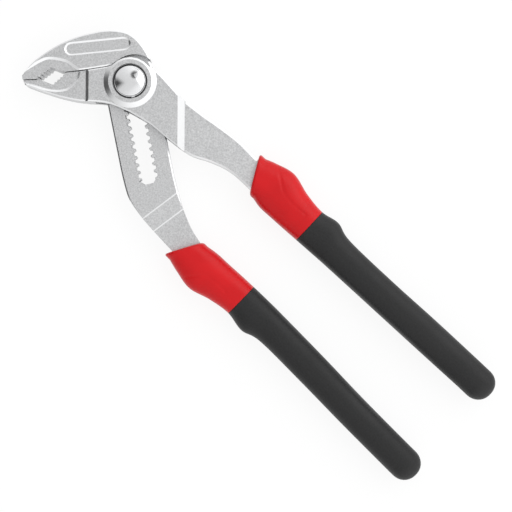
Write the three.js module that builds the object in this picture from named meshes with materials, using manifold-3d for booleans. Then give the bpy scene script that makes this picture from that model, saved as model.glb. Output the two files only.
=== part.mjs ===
// Push-button adjustable pliers with a box joint, lying on their back.
//
// Millimetres, +Z up. The levers are drawn in the head frame: origin on the pivot, x along the closed
// mouth (the jaw tips lie at -x), y up along the slot towards the upper jaw, z out of the button with
// zero at the mid-plane. The whole tool is then turned so that +X runs down between the handles, and
// raised so that the back of the pivot lies on the plane z = 0.

import * as THREE from "three";
import { mergeVertices } from "three/addons/utils/BufferGeometryUtils.js";
import Module from "manifold-3d";

const wasm = await Module();
wasm.setup();

// Fits
const FIT_GAP = 0.3;
const JAW_GAP = 0.3;
const OPENING_ANGLE = 30;
const HANDLE_DIRECTION = -55.5;

// Slotted lever: upper jaw, sliding bar and lower handle
const BAR_THICKNESS = 6.0;
const BAR_LEFT = 12.1;
const BAR_RIGHT = 10.5;
const LOWER_TANG_THICKNESS = 5.2;
const RAMP_AT = [3.5, -55.7];
const RAMP_ANGLE = -64.5;
const RAMP_RUN = 7.4;
const HEAD_THICKNESS = 13.8;
const HEAD_RELIEF = 0.7;
const HEAD_RELIEF_SHIFT = 2.0;
const HEAD_HEEL = -5.0;
const SHOULDER_LEVEL = 5.6;

// Slot and its lock teeth
const SLOT_CLEAR_WIDTH = 6.1;
const SLOT_TOOTH_DEPTH = 1.3;
const SLOT_PITCH = 3.36;
const SLOT_POSITIONS = 12;
const SLOT_STAGGER = 1.25;
const SLOT_TOOTH_TIP = 0.8;
const SLOT_GULLET_ROOT = 1.4;
const SLOT_TOP = 5.4;
const SLOT_OFFSET = 0.9;
const SLOT_CHAMFER = 0.2;
const SLOT_CORNER = 1.2;
const SLOT_END_ROOM = 5.6;

// Box lever: lower jaw, two cheeks and upper handle
const CHEEK_THICKNESS = 3.6;
const LOWER_JAW_THICKNESS = 11.8;
const UPPER_ARM_THICKNESS = 8.0;
const STEP_TILT = -11.8;
const JAW_STEP_AT = [-17.0, 8.7];
const JAW_STEP_RUN = 1.4;
const ARM_STEP_AT = [17.0, -22.0];
const ARM_STEP_RUN = 3.0;
const ARM_CHAMFER = 0.8;
const SEAM_LAP = 0.5;
const SEAM_STEP = 0.02;

// Bosses round the pivot
const BOSS_RADIUS = 9.6;
const BOSS_HEIGHT = 1.3;
const BOSS_FLARE = 2.2;
const BOSS_RIM = 1.0;
const BOSS_ARC_END = 26;
const REAR_BOSS_RADIUS = 8.4;
const REAR_BOSS_HEIGHT = 0.7;
const REAR_BOSS_FLARE = 1.2;
const BOSS_ROOT = 1.0;

// Jaws
const TOOTH_COUNT = 5;
const TOOTH_DEPTH = 0.6;
const MOUTH_RECESS_DEPTH = 0.7;
const PLATE_LENGTH = 23.6;
const PLATE_WIDTH = 6.0;
const PLATE_DEPTH = 0.5;
const PLATE_AT = [-11.1, 18.1];
const PLATE_ANGLE = -5.7;
const EDGE_CHAMFER = 0.6;
const CHAMFER_RISE = 0.65;

// Push button, bolt, spring and rings
const BUTTON_RADIUS = 6.7;
const BUTTON_RISE = 2.0;
const BUTTON_DOME = 1.1;
const BUTTON_WALL = 0.8;
const BUTTON_CEILING = 1.2;
const BUTTON_TRAVEL = 2.4;
const BUTTON_EDGE = 0.6;
const FLANGE_OVERHANG = 0.5;
const FLANGE_HEIGHT = 0.6;
const RING_WIDTH = 0.5;
const RING_HEIGHT = 0.6;
const RING_SPLIT = 1.6;
const RING_DEPTH = 0.1;
const POCKET_FLOOR = 0.8;
const SEAT_THICKNESS = 0.4;
const SEAT_LIFT = 0.05;
const STEM_RADIUS = 2.65;
const KEY_RADIUS = 4.45;
const KEY_HEIGHT = 2.5;
const KEY_END_TRIM = 0.5;
const KEY_SLACK = 1.3;
const TAIL_HEIGHT = 0.6;
const SPRING_WIRE = 0.55;
const SPRING_TURNS = 3.5;
const SPRING_FLARE = 0.8;
const CAP_RADIUS = 6.6;
const CAP_THICKNESS = 0.7;

// Grips and the tangs inside them
const GRIP_THICKNESS = 15.2;
const GRIP_SQUARENESS = 2.5;
const COLLAR_LENGTH = 34.2;
const COLLAR_SLANT = 0.55;
const TANG_WIDTH = 8.6;
const TANG_LENGTH = 82.0;
const TANG_LEAD = 6.0;
const TANG_TAPER = 0.7;
const TANG_TIP = 0.4;
const GRIP_END = 110.6;
const END_ROUND = 8.0;
const END_LEAST = 0.04;
const RING_STEP = 3.0;
const UPPER_GRIP_AT = [66.2, -78.0];
const UPPER_GRIP_ANGLE = -54.7;
const LOWER_GRIP_AT = [28.5, -105.3];
const LOWER_GRIP_ANGLE = -55.7;

// Drawing resolution
const CURVE_STEPS = 3;
const ROUND_STEPS = 40;
const GRIP_SIDES = 20;
const DOME_STEPS = 8;
const WIRE_SIDES = 6;
const STEPS_PER_TURN = 12;
const SEARCH_STEPS = 30;
const CUTTER_LENGTH = 400;
const JAW_CUTTER_LENGTH = 60;
const CUT_PAST = 1;

// Edges of the forgings, in order along each outline, with the jaws closed
const HEAD_FRONT = [-46.5, 12.1];
const HEAD_BACK = [[-42.3, 15.6], [-37.2, 18.6], [-27.4, 22.4], [-17.9, 24.2], [-8.8, 24.5]];
const HEAD_CROWN = [
  [-4.4, 24.0], [0, 22.7], [4.0, 20.5], [7.6, 15.9], [10.2, 9.5], [BAR_RIGHT, SHOULDER_LEVEL],
];
const BAR_TOP = [[8.0, 14], [-BAR_LEFT, 14]];
const BAR_LEFT_STRAIGHT = [-BAR_LEFT, -38];
const BAR_LEFT_EDGE = [[-11.7, -46.8], [-10.6, -52.4], [-6.0, -62.4], [2.6, -76.6]];
const BAR_RIGHT_FOOT = [16.1, -76.4];
const BAR_RIGHT_EDGE = [[13.2, -68.6], [11.3, -58.0], [BAR_RIGHT, -45.0]];
const ARM_UPPER_EDGE = [
  [13.5, 0.4], [20.3, -10.7], [27.6, -19.6], [35.0, -27.5], [42.4, -36.0], [47.9, -44.5],
];
const ARM_LOWER_FOOT = [42.6, -57.3];
const ARM_LOWER_EDGE = [
  [35.5, -47.9], [27.6, -41.8], [19.5, -37.1], [12.1, -29.2], [4.8, -20.2], [-2.9, -13.2],
];
const JAW_LOWER_EDGE = [[-12.2, -7.2], [-23.8, -3.9], [-32.1, -0.4], [-40.3, 4.1], [-46.0, 7.6]];

// Where each forging enters its collar: distance past the collar's front, and distance from the handle's line
const LOWER_NECK = [[3, -5.6], [7, 5.6]];
const UPPER_NECK = [[1, 6.2], [6, -6.6]];

// Recesses beside the mouth: the start, the rim and the corners that close the outline outside the jaw
const UPPER_RECESS = {
  start: [-15.5, 1],
  rim: [[-19.6, 8.4], [-23.4, 12.7], [-26.5, 15.3], [-32.8, 17.7], [-37.5, 17.3], [-44, 15]],
  corners: [[-55, 10], [-55, 1]],
};
const LOWER_RECESS = {
  start: [-55, 12],
  rim: [[-46, 8.0], [-42.0, 5.8], [-38.0, 3.6], [-32.7, 1.8], [-27.5, 1.9], [-22.6, 5.2], [-20.4, 9.6]],
  corners: [[-18.5, 15], [-55, 19]],
};

// Room in the box's window for the bar's flared foot: past the bar's right side, and above its lowest place
const WINDOW_REACH = 40;
const WINDOW_FOOT = 6.6;
const WINDOW_FLARE = [[3.4, 12.2], [1.6, 18.2], [0.6, 25]];

// Levels worked out from the sizes above
const barHalf = BAR_THICKNESS / 2;
const cheekInner = barHalf + FIT_GAP;
const cheekOuter = cheekInner + CHEEK_THICKNESS;
const bossTop = cheekOuter + BOSS_HEIGHT;
const rearFace = -(cheekOuter + REAR_BOSS_HEIGHT);
const headHalf = HEAD_THICKNESS / 2;
const slotHalf = SLOT_CLEAR_WIDTH / 2;
const slotTravel = SLOT_PITCH * SLOT_POSITIONS;
const slotBottom = -slotTravel - SLOT_END_ROOM;
const bossOutline = BOSS_RADIUS + BOSS_RIM;
const pocketFloor = cheekInner + POCKET_FLOOR;
const ringBottom = bossTop - RING_HEIGHT - RING_DEPTH;
const ringOuter = BUTTON_RADIUS + FIT_GAP + RING_WIDTH;
const flangeRadius = BUTTON_RADIUS + FLANGE_OVERHANG;
const flangeBottom = ringBottom - FIT_GAP - FLANGE_HEIGHT;
const buttonCeiling = bossTop + BUTTON_RISE - BUTTON_CEILING;
const stemTop = buttonCeiling - FIT_GAP;
const keyBottom = BUTTON_TRAVEL - barHalf - FIT_GAP - KEY_HEIGHT;
const springLow = pocketFloor + SEAT_THICKNESS + FIT_GAP + SPRING_WIRE / 2;
const springHigh = buttonCeiling - FIT_GAP - SPRING_WIRE / 2;
const capTop = rearFace + CAP_THICKNESS;
const stemSwing = STEM_RADIUS + SLOT_OFFSET + FIT_GAP;
const keySwing = KEY_RADIUS + SLOT_OFFSET + FIT_GAP;

const degrees = THREE.MathUtils.degToRad;
const steel = { color: 0xc4c6c8, roughness: 0.42, metalness: 0.9 };
const finishes = {
  forged: new THREE.MeshStandardMaterial(steel),
  polished: new THREE.MeshStandardMaterial({ color: 0xd4d6d8, roughness: 0.18, metalness: 1.0 }),
  spring: new THREE.MeshStandardMaterial({ color: 0x9a9c9e, roughness: 0.35, metalness: 1.0 }),
  black_oxide: new THREE.MeshStandardMaterial({ color: 0x17181a, roughness: 0.5, metalness: 0.6 }),
  red_grip: new THREE.MeshStandardMaterial({ color: 0xd22027, roughness: 0.35, metalness: 0.0 }),
  black_grip: new THREE.MeshStandardMaterial({ color: 0x2c2d2f, roughness: 0.65, metalness: 0.0 }),
};

// Solids from three.js geometry, and back

function solidOf(geometry) {
  const bare = geometry.index ? geometry.toNonIndexed() : geometry.clone();
  bare.deleteAttribute("normal");
  bare.deleteAttribute("uv");
  const merged = mergeVertices(bare, 1e-4);
  return closedSolid(merged.attributes.position.array, merged.index.array);
}

function closedSolid(positions, triangles) {
  const vertProperties = new Float32Array(positions);
  const triVerts = new Uint32Array(triangles);
  return new wasm.Manifold(new wasm.Mesh({ numProp: 3, vertProperties, triVerts }));
}

function meshOf(name, solid, finish) {
  const { vertProperties, triVerts } = solid.getMesh();
  const geometry = new THREE.BufferGeometry();
  geometry.setAttribute("position", new THREE.BufferAttribute(new Float32Array(vertProperties), 3));
  geometry.setIndex(new THREE.BufferAttribute(new Uint32Array(triVerts), 1));
  geometry.computeVertexNormals();
  const mesh = new THREE.Mesh(geometry, finishes[finish]);
  mesh.name = name;
  return mesh;
}

function points2(list) {
  return list.map(([x, y]) => new THREE.Vector2(x, y));
}

// A closed loop of points with no repeats, running round the material on its left.
function tidyLoop(points, isHole) {
  const loop = points.filter((p, i) => p.distanceTo(points[(i + 1) % points.length]) > 1e-3);
  return THREE.ShapeUtils.isClockWise(loop) === isHole ? loop : loop.reverse();
}

// The loop moved into the material by an even distance, corner by corner.
function insetLoop(loop, distance) {
  return loop.map((point, i) => {
    const before = point.clone().sub(loop[(i + loop.length - 1) % loop.length]).normalize();
    const after = loop[(i + 1) % loop.length].clone().sub(point).normalize();
    const normal = new THREE.Vector2(-before.y - after.y, before.x + after.x);
    const mitre = Math.max(0.6, 1 + before.dot(after));
    return point.clone().addScaledVector(normal, distance / mitre);
  });
}

// A flat plate of an outline between two levels, chamfered inside the outline and lightly at its holes.
function plate(shape, low, high, chamfer = 0) {
  const drawn = shape.extractPoints(CURVE_STEPS);
  const loops = [tidyLoop(drawn.shape, false), ...drawn.holes.map((hole) => tidyLoop(hole, true))];
  const depthOf = (i) => (i === 0 ? chamfer : Math.min(chamfer, SLOT_CHAMFER));
  const inset = loops.map((loop, i) => (chamfer > 0 ? insetLoop(loop, depthOf(i)) : loop));
  const rise = chamfer * CHAMFER_RISE;
  const levels = chamfer > 0
    ? [[inset, low], [loops, low + rise], [loops, high - rise], [inset, high]]
    : [[loops, low], [loops, high]];
  const perLevel = loops.reduce((sum, loop) => sum + loop.length, 0);
  const positions = levels.flatMap(([rings, z]) => rings.flat().flatMap((p) => [p.x, p.y, z]));
  const triangles = [];
  const top = (levels.length - 1) * perLevel;
  THREE.ShapeUtils.triangulateShape(inset[0], inset.slice(1)).forEach(([i, j, k]) => {
    triangles.push(k, j, i, top + i, top + j, top + k);
  });
  for (let level = 0; level < levels.length - 1; level += 1) {
    let start = level * perLevel;
    loops.forEach((loop) => {
      for (let i = 0; i < loop.length; i += 1) {
        const here = start + i;
        const next = start + ((i + 1) % loop.length);
        triangles.push(here, next, next + perLevel, here, next + perLevel, here + perLevel);
      }
      start += loop.length;
    });
  }
  return closedSolid(positions, triangles);
}

function polygon(list) {
  return new THREE.Shape(points2(list));
}

// A turned piece from its half-section, given as pairs of radius and level.
function turned(section, steps = ROUND_STEPS) {
  const geometry = new THREE.LatheGeometry(points2(section), steps);
  geometry.rotateX(Math.PI / 2);
  return solidOf(geometry);
}

function disc(radius, low, high, x = 0, y = 0) {
  const round = turned([[0, low], [radius, low], [radius, high], [0, high]]);
  return round.translate([x, y, 0]);
}

// A long bar of a section drawn in (u, z): u runs across the head from a start point at an angle.
function crossBar(section, start, angle, length) {
  const geometry = new THREE.ExtrudeGeometry(polygon(section), { depth: length, bevelEnabled: false });
  geometry.translate(0, 0, -length / 2);
  const across = new THREE.Vector3(Math.cos(degrees(angle)), Math.sin(degrees(angle)), 0);
  const up = new THREE.Vector3(0, 0, 1);
  const along = new THREE.Vector3().crossVectors(across, up);
  const place = new THREE.Matrix4().makeBasis(across, up, along);
  place.setPosition(start[0], start[1], 0);
  geometry.applyMatrix4(place);
  return solidOf(geometry);
}

// The same cut from the front and, mirrored, from the back.
function cutBothFaces(solid, cutter) {
  return solid.subtract(cutter).subtract(cutter.mirror([0, 0, 1]));
}

// Mouth line shared by the two jaws, from the tips back to the joint

const mouth = {
  tip: [-46.7, 10.2],
  frontEnd: [-40.6, 9.2],
  upperApex: [-32.7, 12.9],
  lowerApex: [-34.4, 5.7],
  backStart: [-27.2, 9.8],
  backEnd: [-18.2, 9.0],
  cheekEnd: [-9.6, 8.6],
};

function shifted([x, y], dy) {
  return [x, y + dy];
}

// A toothed flank between two points, with its teeth cut to the left of the way that it runs.
function toothedFlank(from, to) {
  const start = new THREE.Vector2(...from);
  const run = new THREE.Vector2(...to).sub(start);
  const normal = new THREE.Vector2(-run.y, run.x).normalize().multiplyScalar(TOOTH_DEPTH);
  const outline = [];
  for (let tooth = 0; tooth < TOOTH_COUNT; tooth += 1) {
    const root = start.clone().addScaledVector(run, (tooth + 0.6) / TOOTH_COUNT).add(normal);
    const tip = start.clone().addScaledVector(run, (tooth + 1) / TOOTH_COUNT);
    outline.push(root.toArray(), tip.toArray());
  }
  return outline;
}

// The hollow between the closed jaws, toothed on its upper left and lower right flanks.
function mouthHollow() {
  const { frontEnd, upperApex, lowerApex, backStart } = mouth;
  const easeX = 2.8;
  const easeY = 1.9;
  const outline = polygon([
    frontEnd,
    ...toothedFlank(frontEnd, upperApex),
    [upperApex[0] + easeX, upperApex[1] - easeY],
    backStart,
    ...toothedFlank(backStart, lowerApex),
    [lowerApex[0] - easeX, lowerApex[1] + easeY],
  ]);
  return plate(outline, -headHalf - 1, headHalf + 1);
}

// Slotted lever

const lowerTang = grip(LOWER_GRIP_AT, LOWER_GRIP_ANGLE);
const upperTang = grip(UPPER_GRIP_AT, UPPER_GRIP_ANGLE);

// A grip's own frame: s runs down the handle from the joint between collar and sleeve, c across it.
function grip(at, angle) {
  const along = new THREE.Vector2(Math.cos(degrees(angle)), Math.sin(degrees(angle)));
  const across = new THREE.Vector2(-along.y, along.x);
  return { at: new THREE.Vector2(...at), along, across };
}

function gripPoint(frame, s, c) {
  return frame.at.clone().addScaledVector(frame.along, s).addScaledVector(frame.across, c);
}

function neckPoint(frame, [past, c]) {
  return gripPoint(frame, past - COLLAR_LENGTH, c).toArray();
}

// The stretch of an outline that runs round the buried tang, from its upper to its lower side.
function tangOutline(frame, extra = 0) {
  const half = TANG_WIDTH / 2 + extra;
  const end = TANG_LENGTH + extra;
  const narrow = half * TANG_TAPER;
  return [
    gripPoint(frame, -TANG_LEAD, half),
    gripPoint(frame, end - half, narrow),
    gripPoint(frame, end, narrow * TANG_TIP),
    gripPoint(frame, end, -narrow * TANG_TIP),
    gripPoint(frame, end - half, -narrow),
    gripPoint(frame, -TANG_LEAD, -half),
  ];
}

function headOutline() {
  const shape = new THREE.Shape();
  const { tip, frontEnd, backStart, backEnd, cheekEnd } = mouth;
  const up = JAW_GAP / 2;
  shape.moveTo(...shifted(tip, up));
  shape.lineTo(...HEAD_FRONT);
  shape.splineThru(points2(HEAD_BACK));
  shape.splineThru(points2(HEAD_CROWN));
  shape.lineTo(HEAD_HEEL, cheekEnd[1] + up);
  shape.lineTo(...shifted(cheekEnd, up));
  shape.lineTo(...shifted(backEnd, up));
  shape.lineTo(...shifted(backStart, up));
  shape.lineTo(...shifted(frontEnd, up));
  shape.closePath();
  return shape;
}

// The toothed slot lies to the left of the pivot axis.
function slotOutline() {
  const hole = new THREE.Path();
  const corner = SLOT_CORNER;
  const mouthWidth = SLOT_PITCH - SLOT_TOOTH_TIP;
  const side = (sign, phase) => {
    const list = [];
    for (let k = -1; k <= SLOT_POSITIONS + 1; k += 1) {
      const middle = phase - k * SLOT_PITCH;
      list.push([sign * slotHalf, middle + mouthWidth / 2]);
      list.push([sign * (slotHalf + SLOT_TOOTH_DEPTH), middle + SLOT_GULLET_ROOT / 2]);
      list.push([sign * (slotHalf + SLOT_TOOTH_DEPTH), middle - SLOT_GULLET_ROOT / 2]);
      list.push([sign * slotHalf, middle - mouthWidth / 2]);
    }
    return list.filter(([, y]) => y < SLOT_TOP - corner && y > slotBottom + corner);
  };
  const left = side(-1, -SLOT_STAGGER);
  const right = side(1, SLOT_STAGGER).reverse();
  const ends = [
    [slotHalf, SLOT_TOP - corner],
    [slotHalf - corner, SLOT_TOP],
    [corner - slotHalf, SLOT_TOP],
    [-slotHalf, SLOT_TOP - corner],
  ];
  const foot = [
    [-slotHalf, slotBottom + corner],
    [corner - slotHalf, slotBottom],
    [slotHalf - corner, slotBottom],
    [slotHalf, slotBottom + corner],
  ];
  const outline = [...ends, ...left, ...foot, ...right].map(([x, y]) => [x - SLOT_OFFSET, y]);
  hole.setFromPoints(points2(outline));
  hole.closePath();
  return hole;
}

function barOutline() {
  const shape = new THREE.Shape();
  const tang = tangOutline(lowerTang);
  const [topRight, topLeft] = BAR_TOP;
  shape.moveTo(...topLeft);
  shape.lineTo(...BAR_LEFT_STRAIGHT);
  shape.splineThru(points2(BAR_LEFT_EDGE));
  shape.lineTo(...neckPoint(lowerTang, LOWER_NECK[0]));
  tang.slice().reverse().forEach((point) => shape.lineTo(point.x, point.y));
  shape.lineTo(...neckPoint(lowerTang, LOWER_NECK[1]));
  shape.lineTo(...BAR_RIGHT_FOOT);
  shape.splineThru(points2(BAR_RIGHT_EDGE));
  shape.lineTo(BAR_RIGHT, SHOULDER_LEVEL);
  shape.lineTo(...topRight);
  shape.closePath();
  shape.holes.push(slotOutline());
  return shape;
}

// A shallow recess with sloping sides beside the mouth, cut down from the level of a jaw's face.
function mouthRecess({ start, rim, corners }, face) {
  const shape = new THREE.Shape();
  shape.moveTo(...start);
  shape.lineTo(...rim[0]);
  shape.splineThru(points2(rim.slice(1)));
  corners.forEach(([x, y]) => shape.lineTo(x, y));
  shape.closePath();
  return plate(shape, face - MOUTH_RECESS_DEPTH, face + CUT_PAST, MOUTH_RECESS_DEPTH / CHAMFER_RISE);
}

function namePlateRecess() {
  const shape = new THREE.Shape();
  const half = PLATE_LENGTH / 2;
  const radius = PLATE_WIDTH / 2;
  shape.absarc(half, 0, radius, -Math.PI / 2, Math.PI / 2, false);
  shape.absarc(-half, 0, radius, Math.PI / 2, (3 * Math.PI) / 2, false);
  const recess = plate(shape, headHalf - PLATE_DEPTH, headHalf + CUT_PAST, PLATE_DEPTH / CHAMFER_RISE);
  return recess.rotate([0, 0, PLATE_ANGLE]).translate([...PLATE_AT, 0]);
}

function slottedLever() {
  const reliefTop = headHalf + CUT_PAST;
  const clearOfBoss = bossOutline + FIT_GAP;
  const sideRelief = clearOfBoss + HEAD_RELIEF;
  let head = plate(headOutline(), -headHalf, headHalf, EDGE_CHAMFER);
  head = head.subtract(disc(clearOfBoss, -reliefTop, reliefTop));
  head = head.subtract(disc(sideRelief, -reliefTop, reliefTop, HEAD_RELIEF_SHIFT, 0));
  head = cutBothFaces(head, mouthRecess(UPPER_RECESS, headHalf));
  head = head.subtract(namePlateRecess()).subtract(mouthHollow());
  let bar = plate(barOutline(), -barHalf, barHalf, EDGE_CHAMFER);
  const tangHalf = LOWER_TANG_THICKNESS / 2;
  const far = CUTTER_LENGTH / 2;
  const high = barHalf + CUT_PAST;
  const ramp = [[0, barHalf], [RAMP_RUN, tangHalf], [far, tangHalf], [far, high], [0, high]];
  bar = cutBothFaces(bar, crossBar(ramp, RAMP_AT, RAMP_ANGLE, CUTTER_LENGTH));
  return head.add(bar);
}

// Box lever

// The space that the bar needs between the cheeks as the jaws open and as the slotted lever slides.
function windowOutline() {
  const angle = degrees(OPENING_ANGLE);
  const left = BAR_LEFT + FIT_GAP;
  const right = BAR_RIGHT + FIT_GAP;
  const turn = Math.tan(angle / 2);
  const slant = Math.tan(angle);
  const reach = WINDOW_REACH;
  return polygon([
    [-left, reach],
    [-left, left * turn],
    [-left / Math.cos(angle) - reach * slant, -reach],
    [right + WINDOW_FOOT, -reach],
    ...WINDOW_FLARE.map(([past, above]) => [right + past, above - slotTravel]),
    [right, -right * turn],
    [right / Math.cos(angle) + reach * slant, reach],
  ]);
}

function boxOutline() {
  const shape = new THREE.Shape();
  const { tip, frontEnd, backStart, backEnd, cheekEnd } = mouth;
  const down = -JAW_GAP / 2;
  const tang = tangOutline(upperTang);
  const bossFrom = Math.PI - Math.asin((cheekEnd[1] + down) / bossOutline);
  const bossTo = degrees(BOSS_ARC_END);
  shape.moveTo(...shifted(tip, down));
  shape.lineTo(...shifted(frontEnd, down));
  shape.lineTo(...shifted(backStart, down));
  shape.lineTo(...shifted(backEnd, down));
  shape.lineTo(...shifted(cheekEnd, down));
  shape.absarc(0, 0, bossOutline, bossFrom, bossTo, true);
  shape.splineThru(points2(ARM_UPPER_EDGE));
  shape.lineTo(...neckPoint(upperTang, UPPER_NECK[0]));
  tang.forEach((point) => shape.lineTo(point.x, point.y));
  shape.lineTo(...neckPoint(upperTang, UPPER_NECK[1]));
  shape.lineTo(...ARM_LOWER_FOOT);
  shape.splineThru(points2(ARM_LOWER_EDGE));
  shape.splineThru(points2(JAW_LOWER_EDGE));
  shape.closePath();
  return shape;
}

// The lever with a stretch of it, from one place to another along its step, replaced by a thinner plate that
// has its own broken edges. The plate runs into the lever by the lap, and stands a hair inside its sides.
function thinned(lever, half, chamfer, at, from, to) {
  const tall = bossTop + CUT_PAST;
  const zone = (start) => {
    const profile = [[start, -tall], [to, -tall], [to, tall], [start, tall]];
    return crossBar(to > from ? profile : profile.reverse(), at, STEP_TILT, Math.abs(to));
  };
  const lap = Math.sign(from - to) * SEAM_LAP;
  const loop = tidyLoop(boxOutline().extractPoints(CURVE_STEPS).shape, false);
  const inner = new THREE.Shape(insetLoop(loop, SEAM_STEP));
  const thin = plate(inner, SEAM_STEP - half, half - SEAM_STEP, chamfer).intersect(zone(from + lap));
  return lever.subtract(zone(from - lap / 2)).add(thin);
}

function boxLever() {
  const jawHalf = LOWER_JAW_THICKNESS / 2;
  const armHalf = UPPER_ARM_THICKNESS / 2;
  const tall = bossTop + CUT_PAST;
  let box = plate(boxOutline(), -cheekOuter, cheekOuter, EDGE_CHAMFER);

  const ahead = -JAW_CUTTER_LENGTH;
  const jawCut = [[ahead, jawHalf], [-JAW_STEP_RUN, jawHalf], [0, cheekOuter], [0, tall], [ahead, tall]];
  box = cutBothFaces(box, crossBar(jawCut, JAW_STEP_AT, STEP_TILT, JAW_CUTTER_LENGTH));
  const far = CUTTER_LENGTH / 2;
  const armCut = [[0, cheekOuter], [ARM_STEP_RUN, armHalf], [far, armHalf], [far, tall], [0, tall]];
  box = cutBothFaces(box, crossBar(armCut, ARM_STEP_AT, STEP_TILT, CUTTER_LENGTH));
  box = thinned(box, jawHalf, EDGE_CHAMFER, JAW_STEP_AT, -JAW_STEP_RUN, -JAW_CUTTER_LENGTH);
  box = thinned(box, armHalf, ARM_CHAMFER, ARM_STEP_AT, ARM_STEP_RUN, CUTTER_LENGTH);

  const front = turned([
    [0, cheekInner + BOSS_ROOT],
    [BOSS_RADIUS + BOSS_FLARE, cheekInner + BOSS_ROOT],
    [BOSS_RADIUS + BOSS_FLARE, cheekOuter],
    [BOSS_RADIUS, bossTop],
    [0, bossTop],
  ]);
  const rear = turned([
    [0, rearFace],
    [REAR_BOSS_RADIUS, rearFace],
    [REAR_BOSS_RADIUS + REAR_BOSS_FLARE, -cheekOuter],
    [REAR_BOSS_RADIUS + REAR_BOSS_FLARE, -cheekInner - BOSS_ROOT],
    [0, -cheekInner - BOSS_ROOT],
  ]);
  const tallOutline = plate(boxOutline(), -tall, tall);
  box = box.add(front.add(rear).intersect(tallOutline));

  box = box.subtract(plate(windowOutline(), -cheekInner, cheekInner)).subtract(mouthHollow());
  box = cutBothFaces(box, mouthRecess(LOWER_RECESS, jawHalf));

  const passages = [
    [ringOuter + FIT_GAP, ringBottom - FIT_GAP, tall],
    [flangeRadius + FIT_GAP, pocketFloor, tall],
    [stemSwing, 0, tall],
    [keySwing, -tall, 0],
    [CAP_RADIUS + FIT_GAP, -tall, capTop + FIT_GAP],
  ];
  passages.forEach(([radius, low, high]) => {
    box = box.subtract(disc(radius, low, high));
  });
  return box;
}

// Pivot parts

// The bolt's key fits the slot's gullets on both sides, inside a circle that the rear cheek's bore clears.
function boltKey(low, high) {
  const core = slotHalf - FIT_GAP;
  const depth = SLOT_TOOTH_DEPTH;
  const shrink = FIT_GAP * KEY_SLACK;
  const mouthHalf = (SLOT_PITCH - SLOT_TOOTH_TIP) / 2 - shrink;
  const rootHalf = SLOT_GULLET_ROOT / 2 - shrink;
  const long = KEY_RADIUS - KEY_END_TRIM;
  let key = plate(polygon([[-core, -long], [core, -long], [core, long], [-core, long]]), low, high);
  [-1, 1].forEach((sign) => {
    [0, -sign * SLOT_PITCH].forEach((step) => {
      const middle = sign * SLOT_STAGGER + step;
      const tooth = [
        [sign * (core - 1), middle - mouthHalf],
        [sign * core, middle - mouthHalf],
        [sign * (core + depth), middle - rootHalf],
        [sign * (core + depth), middle + rootHalf],
        [sign * core, middle + mouthHalf],
        [sign * (core - 1), middle + mouthHalf],
      ];
      key = key.add(plate(polygon(sign > 0 ? tooth : tooth.reverse()), low, high));
    });
  });
  return key.intersect(disc(KEY_RADIUS, low, high));
}

// The bolt stands beside the pivot axis by the slot's offset, and swings round it with the slot.
function lockingBolt() {
  const stem = disc(STEM_RADIUS, keyBottom + KEY_HEIGHT / 2, stemTop);
  const key = boltKey(keyBottom, keyBottom + KEY_HEIGHT);
  const tail = disc(KEY_RADIUS, keyBottom - TAIL_HEIGHT, keyBottom);
  return stem.add(key).add(tail).translate([-SLOT_OFFSET, 0, 0]);
}

function pushButton() {
  const crown = BUTTON_RADIUS - BUTTON_EDGE;
  const dome = [];
  for (let i = 0; i <= DOME_STEPS; i += 1) {
    const r = crown * (1 - i / DOME_STEPS);
    const rise = 1 - (r / crown) ** 2;
    dome.push([r, bossTop + BUTTON_RISE - BUTTON_DOME + BUTTON_DOME * rise]);
  }
  const inner = BUTTON_RADIUS - BUTTON_WALL;
  return turned([
    [0, buttonCeiling],
    [inner, buttonCeiling],
    [inner, flangeBottom],
    [flangeRadius, flangeBottom],
    [flangeRadius, flangeBottom + FLANGE_HEIGHT],
    [BUTTON_RADIUS, flangeBottom + FLANGE_HEIGHT],
    [BUTTON_RADIUS, bossTop + BUTTON_RISE - BUTTON_DOME - BUTTON_EDGE],
    ...dome,
  ]);
}

function retainingRing() {
  const inner = BUTTON_RADIUS + FIT_GAP;
  const ring = turned([
    [inner, ringBottom],
    [ringOuter, ringBottom],
    [ringOuter, ringBottom + RING_HEIGHT],
    [inner, ringBottom + RING_HEIGHT],
    [inner, ringBottom],
  ]);
  const half = RING_SPLIT / 2;
  const past = ringOuter + CUT_PAST;
  const split = polygon([[-half, -past], [half, -past], [half, 0], [-half, 0]]);
  return ring.subtract(plate(split, 0, bossTop + CUT_PAST));
}

function springSeat() {
  const inner = stemSwing;
  const outer = BUTTON_RADIUS - BUTTON_WALL - FIT_GAP;
  const low = pocketFloor + SEAT_LIFT;
  const high = low + SEAT_THICKNESS;
  return turned([[inner, low], [outer, low], [outer, high], [inner, high], [inner, low]]);
}

// The spring's middle line, a little wider at its foot.
class ConicalHelix extends THREE.Curve {
  getPoint(t, target = new THREE.Vector3()) {
    const angle = t * SPRING_TURNS * 2 * Math.PI;
    const radius = stemSwing + SPRING_WIRE / 2 + SPRING_FLARE * (1 - t);
    const level = springLow + (springHigh - springLow) * t;
    return target.set(radius * Math.cos(angle), radius * Math.sin(angle), level);
  }
}

function buttonSpring() {
  const wire = [];
  for (let i = 0; i < WIRE_SIDES; i += 1) {
    const angle = (2 * Math.PI * i) / WIRE_SIDES;
    wire.push([(SPRING_WIRE / 2) * Math.cos(angle), (SPRING_WIRE / 2) * Math.sin(angle)]);
  }
  const steps = Math.round(SPRING_TURNS * STEPS_PER_TURN);
  const options = { steps, extrudePath: new ConicalHelix(), bevelEnabled: false };
  return solidOf(new THREE.ExtrudeGeometry(polygon(wire), options));
}

// Grips

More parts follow.
